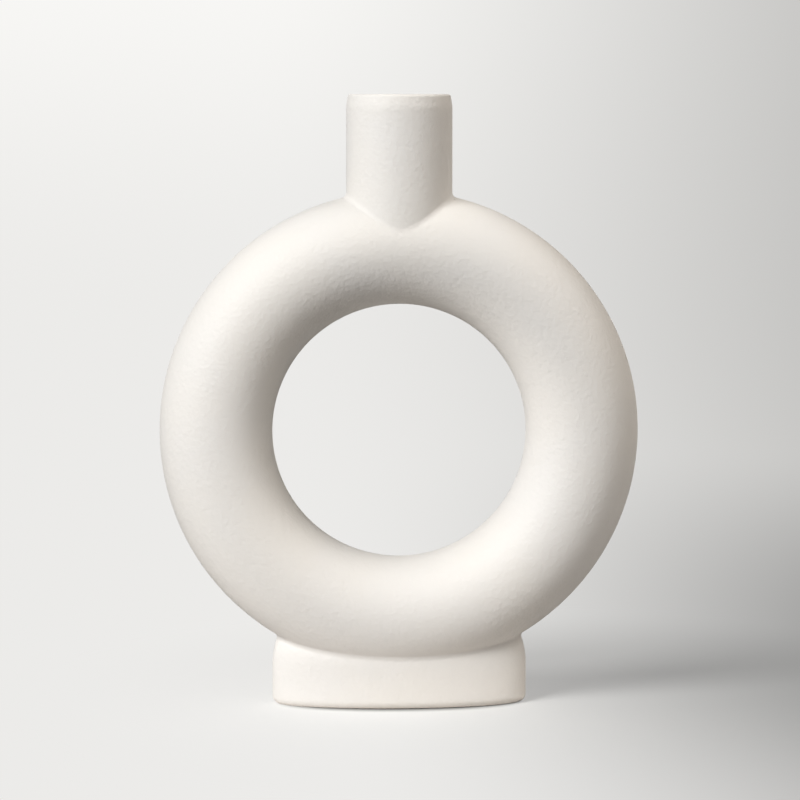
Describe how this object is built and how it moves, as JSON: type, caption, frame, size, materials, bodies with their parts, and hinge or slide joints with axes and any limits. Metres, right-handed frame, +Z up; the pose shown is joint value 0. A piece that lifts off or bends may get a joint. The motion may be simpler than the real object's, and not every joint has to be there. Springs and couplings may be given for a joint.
{
  "type": "donut vase",
  "caption": "Upright hollow ring vase with a straight round neck on its crown and a low oval foot, in matte off-white stoneware.",
  "frame": {"origin": "middle of the foot's underside, on the surface that the vase stands on", "axes": "+Z up along the neck, Y along the ring's axis with the front towards -Y, X across the ring"},
  "size_m": [0.196, 0.046, 0.25],
  "materials": {
    "matte_stoneware": "fine sandy matte, warm off-white",
    "luting_slip": "smoothed and fired with the wall, warm off-white",
    "bare_stoneware": "bare fired clay, dry and slightly darker"
  },
  "bodies": {
    "root": {"ring_front_half": "matte_stoneware", "ring_rear_half": "matte_stoneware", "outer_seam_slip": "luting_slip", "inner_seam_slip": "luting_slip", "neck": "matte_stoneware", "neck_joint_coil": "luting_slip", "foot_wall": "matte_stoneware", "foot_joint_coil": "luting_slip", "foot_base": "bare_stoneware"}
  },
  "joints": []
}
